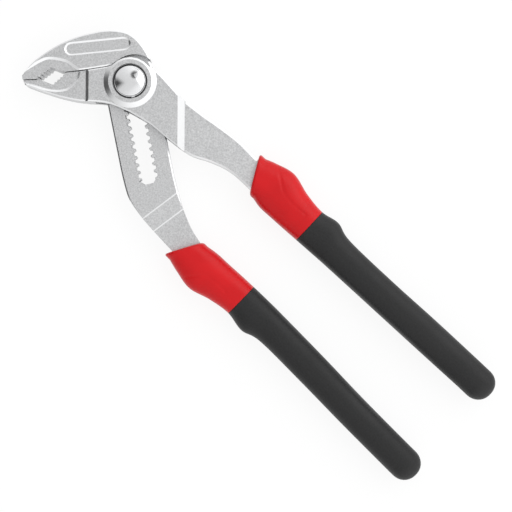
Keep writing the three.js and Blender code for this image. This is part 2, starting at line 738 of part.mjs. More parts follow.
// Half-widths of the two mouldings down the handle: distance from the collar joint, outer and inner side.
const UPPER_PROFILE = [
  [-31, 7.5, -9.2], [-26, 9.3, -10.1], [-17.6, 11.4, -10.0], [-9, 8.8, -9.8], [0, 7.6, -9.5],
  [8.6, 9.0, -9.2], [18, 6.7, -8.9], [44, 6.5, -8.5], [71, 7.1, -8.1], [98, 7.3, -7.6],
];
const LOWER_PROFILE = [
  [-31, 7.2, -8.9], [-25, 8.0, -10.5], [-17, 8.2, -11.9], [-9, 8.5, -9.2], [0, 8.7, -7.7],
  [9.6, 8.8, -9.1], [19, 8.7, -6.8], [44, 8.1, -7.0], [71, 7.1, -7.7], [100, 6.6, -8.1],
];

// A smooth value down the handle, read from one column of a profile.
function profileAt(profile, column, s) {
  const curve = new THREE.SplineCurve(profile.map((row) => new THREE.Vector2(row[0], row[column])));
  let low = 0;
  let high = 1;
  for (let i = 0; i < SEARCH_STEPS; i += 1) {
    const middle = (low + high) / 2;
    if (curve.getPoint(middle).x < s) {
      low = middle;
    } else {
      high = middle;
    }
  }
  return curve.getPoint(low).y;
}

// A ring of points round the handle; slant moves the two sides of a ring along the handle.
function gripRing(frame, s, upper, lower, half, slant) {
  const ring = [];
  const middle = (upper + lower) / 2;
  const width = (upper - lower) / 2;
  const power = 2 / GRIP_SQUARENESS;
  for (let i = 0; i < GRIP_SIDES; i += 1) {
    const angle = (2 * Math.PI * i) / GRIP_SIDES;
    const c = middle + width * Math.sign(Math.cos(angle)) * Math.abs(Math.cos(angle)) ** power;
    const z = half * Math.sign(Math.sin(angle)) * Math.abs(Math.sin(angle)) ** power;
    const point = gripPoint(frame, s + slant * c, c);
    ring.push(new THREE.Vector3(point.x, point.y, z));
  }
  return ring;
}

// A closed skin through rings of points, with a flat fan at each end.
function loft(rings) {
  const sides = rings[0].length;
  const positions = [];
  const indices = [];
  const middleOf = (ring) => ring.reduce((sum, p) => sum.add(p), new THREE.Vector3()).divideScalar(sides);
  rings.forEach((ring) => ring.forEach((p) => positions.push(p.x, p.y, p.z)));
  const first = positions.length / 3;
  [middleOf(rings[0]), middleOf(rings[rings.length - 1])].forEach((p) => positions.push(p.x, p.y, p.z));
  for (let k = 0; k < rings.length - 1; k += 1) {
    for (let i = 0; i < sides; i += 1) {
      const j = (i + 1) % sides;
      const [a, b, c, d] = [k * sides + i, k * sides + j, (k + 1) * sides + i, (k + 1) * sides + j];
      indices.push(a, b, c, b, d, c);
    }
  }
  const last = (rings.length - 1) * sides;
  for (let i = 0; i < sides; i += 1) {
    const j = (i + 1) % sides;
    indices.push(j, i, first, last + i, last + j, first + 1);
  }
  const geometry = new THREE.BufferGeometry();
  geometry.setAttribute("position", new THREE.Float32BufferAttribute(positions, 3));
  geometry.setIndex(indices);
  return solidOf(geometry);
}

function gripBody(frame, profile, from, to, slant) {
  const rings = [];
  const half = GRIP_THICKNESS / 2;
  const count = Math.round((to - from) / RING_STEP);
  const roundFrom = GRIP_END - END_ROUND;
  for (let k = 0; k <= count; k += 1) {
    const s = from + ((to - from) * k) / count;
    const past = Math.max(0, (s - roundFrom) / END_ROUND);
    const shrink = Math.sqrt(Math.max(END_LEAST, 1 - past * past));
    const lean = s < 0 ? slant * (s / from) : 0;
    const [upper, lower] = [profileAt(profile, 1, s), profileAt(profile, 2, s)];
    const middle = (upper + lower) / 2;
    const width = ((upper - lower) / 2) * shrink;
    rings.push(gripRing(frame, s, middle + width, middle - width, half * shrink, lean));
  }
  return loft(rings);
}

// The room that a lever's buried end takes up inside its grip.
function tangCavity(leverOutline, thickness) {
  const loop = tidyLoop(leverOutline.extractPoints(CURVE_STEPS).shape, false);
  const half = thickness / 2 + FIT_GAP;
  return plate(new THREE.Shape(insetLoop(loop, -FIT_GAP)), -half, half);
}

function collar(frame, profile, cavity, slant) {
  return gripBody(frame, profile, -COLLAR_LENGTH, -FIT_GAP / 2, slant).subtract(cavity);
}

function sleeve(frame, profile, cavity) {
  return gripBody(frame, profile, FIT_GAP / 2, GRIP_END, 0).subtract(cavity);
}

// Assembly

const pliers = new THREE.Group();
pliers.name = "push_button_pliers";
pliers.rotation.z = degrees(-HANDLE_DIRECTION);
pliers.position.z = -rearFace;

const upperCavity = tangCavity(boxOutline(), UPPER_ARM_THICKNESS);
const lowerCavity = tangCavity(barOutline(), LOWER_TANG_THICKNESS);
const upperCollar = collar(upperTang, UPPER_PROFILE, upperCavity, -COLLAR_SLANT);
const upperSleeve = sleeve(upperTang, UPPER_PROFILE, upperCavity);
const lowerCollar = collar(lowerTang, LOWER_PROFILE, lowerCavity, COLLAR_SLANT);
const lowerSleeve = sleeve(lowerTang, LOWER_PROFILE, lowerCavity);
const capDisc = disc(CAP_RADIUS, rearFace, capTop);
const boxGroup = new THREE.Group();
boxGroup.add(meshOf("box_lever", boxLever(), "forged"));
boxGroup.add(meshOf("rear_cap", capDisc, "forged"));
boxGroup.add(meshOf("button_retaining_ring", retainingRing(), "black_oxide"));
boxGroup.add(meshOf("upper_grip_collar", upperCollar, "red_grip"));
boxGroup.add(meshOf("upper_grip_sleeve", upperSleeve, "black_grip"));

const slottedGroup = new THREE.Group();
slottedGroup.add(meshOf("slotted_lever", slottedLever(), "forged"));
slottedGroup.add(meshOf("lower_grip_collar", lowerCollar, "red_grip"));
slottedGroup.add(meshOf("lower_grip_sleeve", lowerSleeve, "black_grip"));

const pivotGroup = new THREE.Group();
pivotGroup.add(meshOf("push_button", pushButton(), "polished"));
pivotGroup.add(meshOf("locking_bolt", lockingBolt(), "spring"));
pivotGroup.add(meshOf("button_spring", buttonSpring(), "spring"));
pivotGroup.add(meshOf("spring_seat_washer", springSeat(), "spring"));

pliers.add(boxGroup, slottedGroup, pivotGroup);

export default pliers;
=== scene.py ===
"""Adjustable push-button pliers: satin steel levers, a polished button and two-colour grips."""

import math

import bmesh
import bpy
from bpy.props import FloatProperty, FloatVectorProperty, IntProperty, PointerProperty
from mathutils import Matrix, Vector


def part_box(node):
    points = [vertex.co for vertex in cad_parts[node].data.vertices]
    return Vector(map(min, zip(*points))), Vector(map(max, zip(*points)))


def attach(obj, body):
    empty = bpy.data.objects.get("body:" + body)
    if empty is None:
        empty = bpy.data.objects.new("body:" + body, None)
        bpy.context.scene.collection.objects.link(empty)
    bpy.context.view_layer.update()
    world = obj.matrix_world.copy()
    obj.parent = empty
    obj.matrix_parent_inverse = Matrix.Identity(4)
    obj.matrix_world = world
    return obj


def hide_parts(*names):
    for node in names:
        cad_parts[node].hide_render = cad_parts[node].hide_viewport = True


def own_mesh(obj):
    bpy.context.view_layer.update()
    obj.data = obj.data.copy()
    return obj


bl_info = {
    "name": "Push-button pliers",
    "version": (1, 0, 0),
    "blender": (4, 5, 0),
    "location": "View3D > Sidebar > Pliers",
    "description": "Builds the levers, lock and grips of adjustable pliers on their CAD frame",
    "category": "Add Mesh",
}

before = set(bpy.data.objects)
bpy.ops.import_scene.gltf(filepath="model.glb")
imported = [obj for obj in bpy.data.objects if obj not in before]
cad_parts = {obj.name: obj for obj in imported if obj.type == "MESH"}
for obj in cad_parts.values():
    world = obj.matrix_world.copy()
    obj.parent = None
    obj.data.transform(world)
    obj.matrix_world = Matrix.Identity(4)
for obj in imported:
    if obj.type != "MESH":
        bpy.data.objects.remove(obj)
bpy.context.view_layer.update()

MM = 0.001
PHOTO_TURN = math.radians(44.1)
HEAD_TURN = Matrix.Rotation(math.radians(55.5), 4, "Z")

# Grip outlines in millimetres: place down the handle, reach to the upper side, reach to the lower side.
UPPER_GRIP = {
    "at": (66.2, -78.0),
    "angle": -54.7,
    "slant": -0.55,
    "rows": [
        (-31, 7.5, -9.2), (-26, 9.3, -10.1), (-17.6, 11.4, -10.0), (-9, 8.8, -9.8), (0, 7.6, -9.5),
        (8.6, 9.0, -9.2), (18, 6.7, -8.9), (44, 6.5, -8.5), (71, 7.1, -8.1), (98, 7.3, -7.6),
    ],
    "crease": [(-27.6, 8.3), (-23.3, 5.1), (-19.6, 2.4), (-15.8, 1.1), (-10.2, 0.9), (-4.5, 1.4)],
}
LOWER_GRIP = {
    "at": (28.5, -105.3),
    "angle": -55.7,
    "slant": 0.55,
    "rows": [
        (-31, 7.2, -8.9), (-25, 8.0, -10.5), (-17, 8.2, -11.9), (-9, 8.5, -9.2), (0, 8.7, -7.7),
        (9.6, 8.8, -9.1), (19, 8.7, -6.8), (44, 8.1, -7.0), (71, 7.1, -7.7), (100, 6.6, -8.1),
    ],
    "crease": [(-25.9, -11.1), (-23.6, -7.7), (-20.3, -3.5), (-17.1, -1.6), (-13.0, -1.4), (-7.4, -1.5)],
}
COLLAR_LENGTH = 34.2
GRIP_END = 110.6
SLEEVE_END_ROUND = 7.0
JOINT_GAP = 0.01
CREASE_WIDTH = 0.45

# Button and ring in millimetres.
FLANGE_OVERHANG = 0.5
FLANGE_HEIGHT = 0.6
BUTTON_WALL = 0.8
BUTTON_CEILING = 1.2
BUTTON_DOME = 1.1
BUTTON_EDGE = 0.6
RING_WIDTH = 0.5
RING_SPLIT = 1.6
RING_CORNER = 0.15

# The two lines across the slotted lever where its ramp starts and ends, painted brighter as painted
# highlights: their direction, their places, their side and their width.
RAMP_ANGLE = math.radians(-9.0)
RAMP_LINES = (51.8 * MM, 59.2 * MM)
RAMP_SIDE = -12.0 * MM
RAMP_HIGHLIGHT_CORE = 0.16 * MM
RAMP_HIGHLIGHT_FADE = 0.42 * MM

# Turns of the surface at which an edge is rounded over, or left sharp in the shading.
ROUNDED_FROM = math.radians(20)
SHARP_FROM = math.radians(40)
WIRE_SHARP_FROM = math.radians(65)
MERGE_DISTANCE = 1e-6

# Resolution of the turned and swept pieces.
BUTTON_STEPS = 128
DOME_STEPS = 24
RING_STEPS = 97
ROUND_ANGLES = range(0, 91, 10)
SHOULDER_ANGLES = range(0, 61, 10)

# Floor, room and key light; directions are in the photograph's frame.
FLOOR_HALF = 3.0
FLOOR_LEVEL = -0.1 * MM
FLOOR_WHITE_SHARE = 0.86
FLOOR_WHITE_STRENGTH = 1.02
ROOM_DARK = 0.02
ROOM_LIGHT = 1.0
ROOM_STEPS = ((0.22, 0.05), (0.36, 0.62), (0.62, 0.68))
ROOM_UP_AND_DOWN = 1.1
ROOM_STRENGTH = 1.3
CARD_TOWARDS = (0.17, 0.41, 0.896)
CARD_EDGE = (0.972, 0.988)
CARD_LEVEL = 0.06
KEY_SIZE = 0.8
KEY_AWAY = (0.55, 0.35, 0.75)


class SteelSettings(bpy.types.PropertyGroup):
    """Finish of the steel pieces"""

    edge_round: FloatProperty(
        name="Edge round", description="Radius broken onto the forged edges", default=0.22 * MM,
        min=0.0, unit="LENGTH")
    edge_segments: IntProperty(
        name="Edge segments", description="Faces across each rounded edge", default=2, min=1, max=6)
    forged_colour: FloatVectorProperty(
        name="Forged steel", description="Colour of the satin levers", subtype="COLOR",
        default=(0.63, 0.634, 0.64), size=3)
    polished_colour: FloatVectorProperty(
        name="Polished steel", description="Colour of the button", subtype="COLOR",
        default=(0.78, 0.785, 0.795), size=3)
    spring_colour: FloatVectorProperty(
        name="Spring steel", description="Colour of the bolt, spring and washer", subtype="COLOR",
        default=(0.5, 0.505, 0.515), size=3)
    # The ring's near-black is painted shade for the dark gap round the button.
    ring_shade_colour: FloatVectorProperty(
        name="Ring black painted shade", description="Colour of the ring round the button", subtype="COLOR",
        default=(0.016, 0.016, 0.018), size=3)


class GripSettings(bpy.types.PropertyGroup):
    """Shape and colours of the grips"""

    thickness: FloatProperty(
        name="Thickness", description="Thickness of both grips", default=15.2 * MM, unit="LENGTH")
    squareness: FloatProperty(
        name="Squareness", description="Section of the grips, 2 for an oval and more for squarer",
        default=2.5, min=2.0, max=8.0)
    sides: IntProperty(
        name="Sides", description="Points round a grip", default=128, min=16, max=200)
    ring_step: FloatProperty(
        name="Ring step", description="Distance between rings of points", default=0.6 * MM,
        min=0.2 * MM, unit="LENGTH")
    collar_round: FloatProperty(
        name="Collar round", description="Radius on the collar's front edge", default=1.3 * MM, unit="LENGTH")
    joint_round: FloatProperty(
        name="Joint round", description="Radius where the collar meets the sleeve", default=0.2 * MM,
        unit="LENGTH")
    crease_depth: FloatProperty(
        name="Crease depth", description="Depth of the moulded creases on the collars", default=0.22 * MM,
        unit="LENGTH")
    red: FloatVectorProperty(
        name="Red", description="Colour of the collars", subtype="COLOR", default=(0.6, 0.007, 0.01), size=3)
    black: FloatVectorProperty(
        name="Black", description="Colour of the sleeves", subtype="COLOR",
        default=(0.0085, 0.0087, 0.0091), size=3)


class StageSettings(bpy.types.PropertyGroup):
    """Camera, floor and light"""

    camera_distance: FloatProperty(
        name="Camera distance", description="From the camera to the front of the joint", default=0.6,
        unit="LENGTH")
    frame_width: FloatProperty(
        name="Frame width", description="Width of the picture at the front of the joint", default=0.2273,
        unit="LENGTH")
    aim: FloatVectorProperty(
        name="Aim", description="Middle of the picture, on the front of the joint", subtype="TRANSLATION",
        default=(0.094, -0.0168, 0.0136), size=3)
    key_power: FloatProperty(
        name="Key light", description="Power of the main light", default=1.7, unit="POWER")
    floor_colour: FloatVectorProperty(
        name="Floor", description="Colour of the floor", subtype="COLOR", default=(0.92, 0.92, 0.92), size=3)


class PliersSettings(bpy.types.PropertyGroup):
    """Everything that a user can change on the pliers"""

    steel: PointerProperty(type=SteelSettings)
    grip: PointerProperty(type=GripSettings)
    stage: PointerProperty(type=StageSettings)


def settings():
    return bpy.context.scene.pliers


# Meshes


def new_piece(name, mesh, node, body, material):
    """A finished object that stands for a CAD node, rides on its body and takes its material."""
    piece = bpy.data.objects.new(name, mesh)
    bpy.context.scene.collection.objects.link(piece)
    mesh.materials.clear()
    mesh.materials.append(material)
    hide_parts(node)
    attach(piece, body)
    return piece


def merged_copy(node):
    """A bmesh of a CAD node with its loose triangles joined up."""
    bm = bmesh.new()
    bm.from_mesh(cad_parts[node].data)
    bmesh.ops.remove_doubles(bm, verts=bm.verts, dist=MERGE_DISTANCE)
    return bm


def mesh_from(bm, name):
    mesh = bpy.data.meshes.new(name)
    bm.to_mesh(mesh)
    bm.free()
    return mesh


def evaluated(mesh, name, *set_ups):
    """The mesh with modifiers applied, each set up by a function that is given the object."""
    carrier = bpy.data.objects.new(name, mesh)
    bpy.context.scene.collection.objects.link(carrier)
    for set_up in set_ups:
        set_up(carrier)
    depsgraph = bpy.context.evaluated_depsgraph_get()
    result = bpy.data.meshes.new_from_object(carrier.evaluated_get(depsgraph))
    result.name = name
    bpy.data.objects.remove(carrier)
    return result


def smooth_by_angle(mesh, limit):
    """Smooth shading, with an edge left sharp where it turns by more than the limit."""
    bm = bmesh.new()
    bm.from_mesh(mesh)
    for face in bm.faces:
        face.smooth = True
    for edge in bm.edges:
        edge.smooth = len(edge.link_faces) == 2 and edge.calc_face_angle(0.0) < limit
    bm.to_mesh(mesh)
    bm.free()


def edge_broken_mesh(node, name, radius, segments):
    """A CAD node's shape with its sharp edges rounded and its flat faces kept flat."""
    bm = merged_copy(node)
    for face in bm.faces:
        face.smooth = True

    def add_finish(carrier):
        bevel = carrier.modifiers.new("Broken edges", "BEVEL")
        bevel.width = radius
        bevel.segments = segments
        bevel.limit_method = "ANGLE"
        bevel.angle_limit = ROUNDED_FROM
        bevel.use_clamp_overlap = True
        level = carrier.modifiers.new("Flat faces", "WEIGHTED_NORMAL")
        level.mode = "FACE_AREA"
        level.weight = 100

    return evaluated(mesh_from(bm, name), name, add_finish)


def lathe_mesh(section, name, steps):
    """A closed shape turned about the pivot axis from (radius, height) pairs in millimetres."""
    bm = bmesh.new()
    rings = []
    for radius, height in section:
        if radius < 1e-6:
            rings.append([bm.verts.new((0, 0, height * MM))])
            continue
        ring = []
        for i in range(steps):
            angle = 2 * math.pi * i / steps
            point = Vector((radius * math.cos(angle), radius * math.sin(angle), height))
            ring.append(bm.verts.new(point * MM))
        rings.append(ring)
    for low, high in zip(rings, rings[1:]):
        for i in range(steps):
            j = (i + 1) % steps
            corners = [low[i % len(low)], low[j % len(low)], high[j % len(high)], high[i % len(high)]]
            face = [v for k, v in enumerate(corners) if v not in corners[:k]]
            if len(face) > 2:
                bm.faces.new(face)
    bmesh.ops.recalc_face_normals(bm, faces=bm.faces)
    mesh = mesh_from(bm, name)
    smooth_by_angle(mesh, SHARP_FROM)
    return mesh


# Grip forms


def profile_table(rows, column, steps=24):
    """A smooth curve through one column of a grip's rows, as (place, reach) pairs."""
    points = [(row[0], row[column]) for row in rows]
    table = []
    for i in range(len(points) - 1):
        a, b, c, d = (points[max(0, min(len(points) - 1, i + k))] for k in (-1, 0, 1, 2))
        for k in range(steps):
            t = k / steps
            pair = []
            for axis in (0, 1):
                slope_in = (c[axis] - a[axis]) / 2
                slope_out = (d[axis] - b[axis]) / 2
                bend = 2 * b[axis] - 2 * c[axis] + slope_in + slope_out
                curl = -3 * b[axis] + 3 * c[axis] - 2 * slope_in - slope_out
                pair.append(((bend * t + curl) * t + slope_in) * t + b[axis])
            table.append(tuple(pair))
    table.append(points[-1])
    return table


def read_table(table, place):
    if place <= table[0][0]:
        return table[0][1]
    for (a, low), (b, high) in zip(table, table[1:]):
        if place <= b:
            return low + (high - low) * (place - a) / (b - a)
    return table[-1][1]


def grip_stations(start, end, front_round, rear_round, step):
    """(place, inset) pairs down a grip, rounded over at both ends; all in millimetres."""
    turns = [math.radians(angle) for angle in ROUND_ANGLES]
    low = start + front_round
    high = end - rear_round
    count = max(2, round((high - low) / step))
    stations = [(low - front_round * math.cos(a), front_round * (1 - math.sin(a))) for a in turns]
    stations += [(low + (high - low) * k / count, 0.0) for k in range(1, count)]
    stations += [(high + rear_round * math.sin(a), rear_round * (1 - math.cos(a))) for a in turns]
    return stations


def crease_depth(line, place, c, depth):
    """How far a point sinks into the moulded line that crosses a collar's front."""
    here = Vector((place, c))
    nearest = min(
        (here - a - (b - a) * max(0.0, min(1.0, (here - a).dot(b - a) / (b - a).length_squared))).length
        for a, b in zip(line, line[1:]))
    return depth * math.exp(-(nearest / CREASE_WIDTH) ** 2)


def grip_mesh(grip, name, stations):
    """A closed moulding round the handle, one superellipse ring at each station."""
    sizes = settings().grip
    half = sizes.thickness / MM / 2
    power = 2 / sizes.squareness
    upper_side = profile_table(grip["rows"], 1)
    lower_side = profile_table(grip["rows"], 2)
    along = Vector((math.cos(math.radians(grip["angle"])), math.sin(math.radians(grip["angle"])), 0))
    across = Vector((-along.y, along.x, 0))
    start = Vector((*grip["at"], 0))
    middle_plane = Matrix.Translation((0, 0, half))
    crease = [Vector(point) for point in grip["crease"]]
    depth = sizes.crease_depth / MM
    bm = bmesh.new()
    rings = []
    for place, inset in stations:
        lean = grip["slant"] * place / -COLLAR_LENGTH if place < 0 else 0.0
        upper = read_table(upper_side, place) - inset
        lower = read_table(lower_side, place) + inset
        ring = []
        for i in range(sizes.sides):
            angle = 2 * math.pi * i / sizes.sides
            wide = math.copysign(abs(math.cos(angle)) ** power, math.cos(angle))
            tall = math.copysign(abs(math.sin(angle)) ** power, math.sin(angle))
            c = (upper + lower) / 2 + wide * (upper - lower) / 2
            sunk = crease_depth(crease, place + lean * c, c, depth) if place < 0 < tall else 0.0
            z = tall * (half - inset) - sunk
            point = start + along * (place + lean * c) + across * c
            point.z = z
            ring.append(bm.verts.new(middle_plane @ HEAD_TURN @ point * MM))
        rings.append(ring)
    for low, high in zip(rings, rings[1:]):
        for i in range(sizes.sides):
            j = (i + 1) % sizes.sides
            bm.faces.new((low[i], low[j], high[j], high[i]))
    bm.faces.new(reversed(rings[0]))
    bm.faces.new(rings[-1])
    bmesh.ops.recalc_face_normals(bm, faces=bm.faces)
    return mesh_from(bm, name)


def hollowed(mesh, name, node):
    """A grip with the room for its lever cut out of it."""
    cutter_mesh = mesh_from(merged_copy(node), "Tang room")
    cutter = bpy.data.objects.new("Tang room", cutter_mesh)
    bpy.context.scene.collection.objects.link(cutter)

    def add_cut(carrier):
        cut = carrier.modifiers.new("Tang room", "BOOLEAN")
        cut.operation = "DIFFERENCE"
        cut.solver = "EXACT"
        cut.object = cutter

    result = evaluated(mesh, name, add_cut)
    bpy.data.objects.remove(cutter)
    smooth_by_angle(result, SHARP_FROM)
    return result


# Material nodes


def add_node(tree, kind, label, values=None, **settings_by_name):
    """A labelled node; a value is a constant or another node's output."""
    node = tree.nodes.new(kind)
    node.label = label
    for key, value in settings_by_name.items():
        setattr(node, key, value)
    for key, value in (values or {}).items():
        socket = node.inputs[key]
        if isinstance(value, bpy.types.NodeSocket):
            tree.links.new(value, socket)
        else:
            socket.default_value = value
    return node


def new_group(name, inputs, outputs):
    """An empty shader node group with its sockets, and its input and output nodes."""
    tree = bpy.data.node_groups.new(name, "ShaderNodeTree")
    for label, kind, value in inputs:
        socket = tree.interface.new_socket(label, in_out="INPUT", socket_type=kind)
        if value is not None:
            socket.default_value = value
    for label, kind in outputs:
        tree.interface.new_socket(label, in_out="OUTPUT", socket_type=kind)
    return tree, tree.nodes.new("NodeGroupInput"), tree.nodes.new("NodeGroupOutput")


def surface_grain_group():
    """Fine grain of a blasted or moulded surface, with a broader mottle under it."""
    tree, given, out = new_group(
        "Surface grain",
        [("Vector", "NodeSocketVector", None), ("Grain", "NodeSocketFloat", 1200.0),
         ("Mottle", "NodeSocketFloat", 90.0)],
        [("Height", "NodeSocketFloat"), ("Fleck", "NodeSocketFloat"), ("Mottle", "NodeSocketFloat")])
    fine = add_node(tree, "ShaderNodeTexNoise", "Grain", {
        "Vector": given.outputs["Vector"], "Scale": given.outputs["Grain"],
        "Detail": 3.0, "Roughness": 0.6})
    broad = add_node(tree, "ShaderNodeTexNoise", "Mottle", {
        "Vector": given.outputs["Vector"], "Scale": given.outputs["Mottle"],
        "Detail": 4.0, "Roughness": 0.55})
    fleck = add_node(tree, "ShaderNodeMapRange", "Fleck", {
        "Value": fine.outputs["Fac"], "From Min": 0.32, "From Max": 0.68})
    patch = add_node(tree, "ShaderNodeMapRange", "Mottle patches", {
        "Value": broad.outputs["Fac"], "From Min": 0.3, "From Max": 0.7})
    tree.links.new(fine.outputs["Fac"], out.inputs["Height"])
    tree.links.new(fleck.outputs["Result"], out.inputs["Fleck"])
    tree.links.new(patch.outputs["Result"], out.inputs["Mottle"])
    return tree


def slope_mask_group():
    """How far the surface leans away from the flat faces: 0 on a face or a wall, 1 on a slope between."""
    tree, given, out = new_group(
        "Slope mask", [("Normal", "NodeSocketVector", None)], [("Slope", "NodeSocketFloat")])
    parts = add_node(tree, "ShaderNodeSeparateXYZ", "Normal parts", {"Vector": given.outputs["Normal"]})
    upright = add_node(tree, "ShaderNodeMath", "Upright", {0: parts.outputs["Z"]}, operation="ABSOLUTE")
    off_face = add_node(tree, "ShaderNodeMapRange", "Off the face", {
        "Value": upright.outputs[0], "From Min": 0.985, "From Max": 0.93})
    off_wall = add_node(tree, "ShaderNodeMapRange", "Off the wall", {
        "Value": upright.outputs[0], "From Min": 0.08, "From Max": 0.25})
    slope = add_node(tree, "ShaderNodeMath", "Slope", {
        0: off_face.outputs["Result"], 1: off_wall.outputs["Result"]}, operation="MULTIPLY")
    tree.links.new(slope.outputs[0], out.inputs["Slope"])
    return tree


def shader_group(name, build):
    return bpy.data.node_groups.get(name) or build()


def new_material(name):
    """A material with its Principled BSDF and Texture Coordinate nodes."""
    material = bpy.data.materials.new(name)
    material.use_nodes = True
    tree = material.node_tree
    bsdf = tree.nodes["Principled BSDF"]
    place = tree.nodes.new("ShaderNodeTexCoord")
    return material, tree, bsdf, place


def add_grain(tree, place, grain, mottle):
    node = tree.nodes.new("ShaderNodeGroup")
    node.node_tree = shader_group("Surface grain", surface_grain_group)
    tree.links.new(place.outputs["Object"], node.inputs["Vector"])
    node.inputs["Grain"].default_value = grain
    node.inputs["Mottle"].default_value = mottle
    return node


def add_slope(tree, place):
    node = tree.nodes.new("ShaderNodeGroup")
    node.node_tree = shader_group("Slope mask", slope_mask_group)
    tree.links.new(place.outputs["Normal"], node.inputs["Normal"])
    return node


def between(tree, label, factor, low, high):
    """A value that goes from low to high with the factor."""
    node = add_node(tree, "ShaderNodeMapRange", label, {"Value": factor, "To Min": low, "To Max": high})
    return node.outputs["Result"]


def mixed(tree, label, factor, low, high):
    """A colour that goes from low to high with the factor."""
    node = add_node(tree, "ShaderNodeMix", label, {0: factor, 6: low, 7: high}, data_type="RGBA")
    return node.outputs[2]


def shade(colour, times):
    return (*(min(1.0, part * times) for part in colour), 1.0)


def grey(level):
    return (level, level, level, 1.0)


def add_bump(tree, bsdf, height, strength, distance):
    bump = add_node(tree, "ShaderNodeBump", "Grain bump", {
        "Height": height, "Strength": strength, "Distance": distance})
    tree.links.new(bump.outputs["Normal"], bsdf.inputs["Normal"])


def ramp_edge_highlights(tree, place):
    """A mask of the painted highlight lines on the two edges where the slotted lever starts and ends its ramp
    to the handle.
    """
    direction = (math.cos(RAMP_ANGLE), math.sin(RAMP_ANGLE), 0)
    along = add_node(tree, "ShaderNodeVectorMath", "Down the ramp", {
        0: place.outputs["Object"], 1: direction}, operation="DOT_PRODUCT")
    parts = add_node(tree, "ShaderNodeSeparateXYZ", "Lever side", {"Vector": place.outputs["Object"]})
    mask = add_node(tree, "ShaderNodeMath", "On the slotted lever", {
        0: parts.outputs["Y"], 1: RAMP_SIDE}, operation="LESS_THAN").outputs[0]
    nearest = None
    for line in RAMP_LINES:
        off = add_node(tree, "ShaderNodeMath", "From the line", {
            0: along.outputs["Value"], 1: line}, operation="SUBTRACT")
        distance = add_node(tree, "ShaderNodeMath", "Distance", {0: off.outputs[0]}, operation="ABSOLUTE")
        gap = distance.outputs[0]
        nearest = gap if nearest is None else add_node(
            tree, "ShaderNodeMath", "Nearest", {0: nearest, 1: gap}, operation="MINIMUM").outputs[0]
    # Painted highlight line: brightest on each ramp edge and fading off it.
    edge = add_node(tree, "ShaderNodeMapRange", "Line", {
        "Value": nearest, "From Min": RAMP_HIGHLIGHT_CORE, "From Max": RAMP_HIGHLIGHT_FADE,
        "To Min": 0.75, "To Max": 0.0})
    return add_node(tree, "ShaderNodeMath", "Ramp edge highlights", {
        0: edge.outputs["Result"], 1: mask}, operation="MULTIPLY").outputs[0]


def forged_steel():
    """Satin forged steel: blasted faces with a fine grain, with slopes and edges painted brighter as painted
    highlights.
    """
    material, tree, bsdf, place = new_material("Forged steel")
    colour = settings().steel.forged_colour
    grain = add_grain(tree, place, 1500.0, 120.0)
    slope = add_slope(tree, place)
    fleck = mixed(tree, "Grain colour", grain.outputs["Fleck"], shade(colour, 0.74), shade(colour, 1.2))
    mottle = mixed(tree, "Mottle colour", grain.outputs["Mottle"], shade(colour, 0.95), shade(colour, 1.04))
    face = add_node(tree, "ShaderNodeMix", "Face colour", {0: 0.3, 6: fleck, 7: mottle}, data_type="RGBA")
    # Painted highlight: slopes and chamfers between the flat faces are painted brighter than the faces.
    slope_highlight = mixed(tree, "Painted slope highlight", slope.outputs["Slope"], face.outputs[2], shade(colour, 1.25))
    # Painted highlight: the ramp's two edge lines are painted brighter than the face.
    base = mixed(tree, "Ramp edge highlights", ramp_edge_highlights(tree, place), slope_highlight, shade(colour, 1.55))
    rough_face = between(tree, "Face roughness", grain.outputs["Fleck"], 0.4, 0.5)
    rough = add_node(tree, "ShaderNodeMix", "Roughness", {
        0: slope.outputs["Slope"], 2: rough_face, 3: 0.3})
    tree.links.new(base, bsdf.inputs["Base Color"])
    tree.links.new(rough.outputs[0], bsdf.inputs["Roughness"])
    bsdf.inputs["Metallic"].default_value = 1.0
    add_bump(tree, bsdf, grain.outputs["Height"], 0.25, 0.06 * MM)
    return material


def polished_steel():
    """Polished steel of the button, with faint handling marks."""
    material, tree, bsdf, place = new_material("Polished steel")
    colour = settings().steel.polished_colour
    grain = add_grain(tree, place, 900.0, 260.0)
    base = mixed(tree, "Marks", grain.outputs["Mottle"], shade(colour, 0.96), shade(colour, 1.03))
    tree.links.new(base, bsdf.inputs["Base Color"])
    rough = between(tree, "Polish", grain.outputs["Mottle"], 0.1, 0.18)
    tree.links.new(rough, bsdf.inputs["Roughness"])
    bsdf.inputs["Metallic"].default_value = 1.0
    return material


def spring_steel():
    """Drawn and ground steel of the hidden lock pieces."""
    material, tree, bsdf, place = new_material("Spring steel")
    colour = settings().steel.spring_colour
    grain = add_grain(tree, place, 2400.0, 300.0)
    base = mixed(tree, "Draw marks", grain.outputs["Fleck"], shade(colour, 0.88), shade(colour, 1.1))
    tree.links.new(base, bsdf.inputs["Base Color"])
    rough = between(tree, "Ground finish", grain.outputs["Mottle"], 0.26, 0.4)
    tree.links.new(rough, bsdf.inputs["Roughness"])
    bsdf.inputs["Metallic"].default_value = 1.0
    add_bump(tree, bsdf, grain.outputs["Height"], 0.15, 0.03 * MM)
    return material


def black_oxide():
    """Near-black of the retaining ring, painted shade standing in for the dark gap round the button."""
    material, tree, bsdf, place = new_material("Ring black painted shade")
    # Painted shade: the ring is near black to stand for the shaded gap round the button.
    colour = settings().steel.ring_shade_colour
    grain = add_grain(tree, place, 2600.0, 350.0)
    base = mixed(tree, "Ring shade tone", grain.outputs["Mottle"], shade(colour, 0.7), shade(colour, 1.5))
    tree.links.new(base, bsdf.inputs["Base Color"])
    rough = between(tree, "Ring gloss", grain.outputs["Fleck"], 0.42, 0.6)
    tree.links.new(rough, bsdf.inputs["Roughness"])
    add_bump(tree, bsdf, grain.outputs["Height"], 0.2, 0.03 * MM)
    return material


